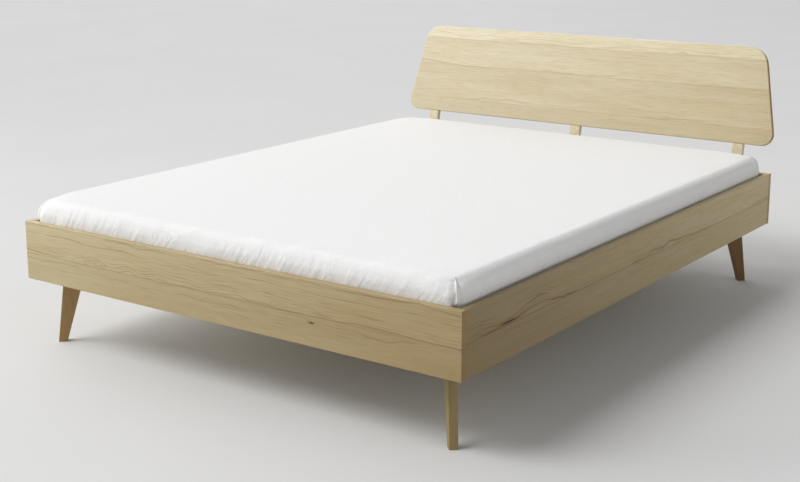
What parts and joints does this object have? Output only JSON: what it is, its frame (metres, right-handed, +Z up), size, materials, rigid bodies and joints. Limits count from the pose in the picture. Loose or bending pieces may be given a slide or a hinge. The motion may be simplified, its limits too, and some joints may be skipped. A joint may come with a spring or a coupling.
{
  "type": "wooden bed",
  "caption": "Low double bed in solid pine with splayed plank legs, a leaning trapezoid headboard on posts, a slatted base and a mattress in a white fitted sheet.",
  "frame": {"origin": "on the floor, at the middle of the board frame, under the centre foot", "axes": "+X to the right side seen from the foot end, +Y towards the head end, +Z up"},
  "size_m": [1.64, 2.1692, 0.8512],
  "materials": {
    "pine_board": "satin",
    "pine_post": "satin",
    "pine_leg": "satin",
    "pine_block": "matte",
    "pine_slat": "matte",
    "beech_dowel": "matte",
    "webbing": "matte",
    "zinc_steel": "satin",
    "mattress_cover": "matte",
    "sheet_cotton": "matte"
  },
  "bodies": {
    "bed_frame": {"foot_board": "pine_board", "head_board_rail": "pine_board", "side_rail_left": "pine_board", "side_rail_right": "pine_board", "headboard_panel": "pine_board", "headboard_post_left": "pine_post", "headboard_post_centre": "pine_post", "headboard_post_right": "pine_post", "leg_front_left": "pine_leg", "leg_front_right": "pine_leg", "leg_rear_left": "pine_leg", "leg_rear_right": "pine_leg", "centre_foot": "pine_leg", "corner_block_front_left": "pine_block", "corner_block_front_right": "pine_block", "corner_block_rear_left": "pine_block", "corner_block_rear_right": "pine_block", "ledge_left": "pine_block", "ledge_right": "pine_block", "centre_beam": "pine_block", "corner_dowels": "beech_dowel", "corner_bolts": "zinc_steel", "corner_inserts": "zinc_steel", "leg_screws": "zinc_steel", "ledge_screws": "zinc_steel", "beam_shoe_front": "zinc_steel", "beam_shoe_rear": "zinc_steel", "beam_shoe_screws": "zinc_steel", "headboard_post_screws": "zinc_steel", "headboard_lap_screws": "zinc_steel", "centre_foot_stud": "zinc_steel"},
    "slatted_base": {"slat_01": "pine_slat", "slat_02": "pine_slat", "slat_03": "pine_slat", "slat_04": "pine_slat", "slat_05": "pine_slat", "slat_06": "pine_slat", "slat_07": "pine_slat", "slat_08": "pine_slat", "slat_09": "pine_slat", "slat_10": "pine_slat", "slat_11": "pine_slat", "slat_12": "pine_slat", "slat_13": "pine_slat", "slat_14": "pine_slat", "slat_15": "pine_slat", "slat_16": "pine_slat", "slat_tape_left": "webbing", "slat_tape_right": "webbing"},
    "mattress_set": {"mattress": "mattress_cover", "fitted_sheet": "sheet_cotton"}
  },
  "joints": [
    {"name": "slats_lift_out", "type": "slide", "parent": "bed_frame", "child": "slatted_base", "axis": [0, 0, 1], "range_m": [0, 0.2]},
    {"name": "mattress_lift_off", "type": "slide", "parent": "slatted_base", "child": "mattress_set", "axis": [0, 0, 1], "range_m": [0, 0.3]}
  ]
}
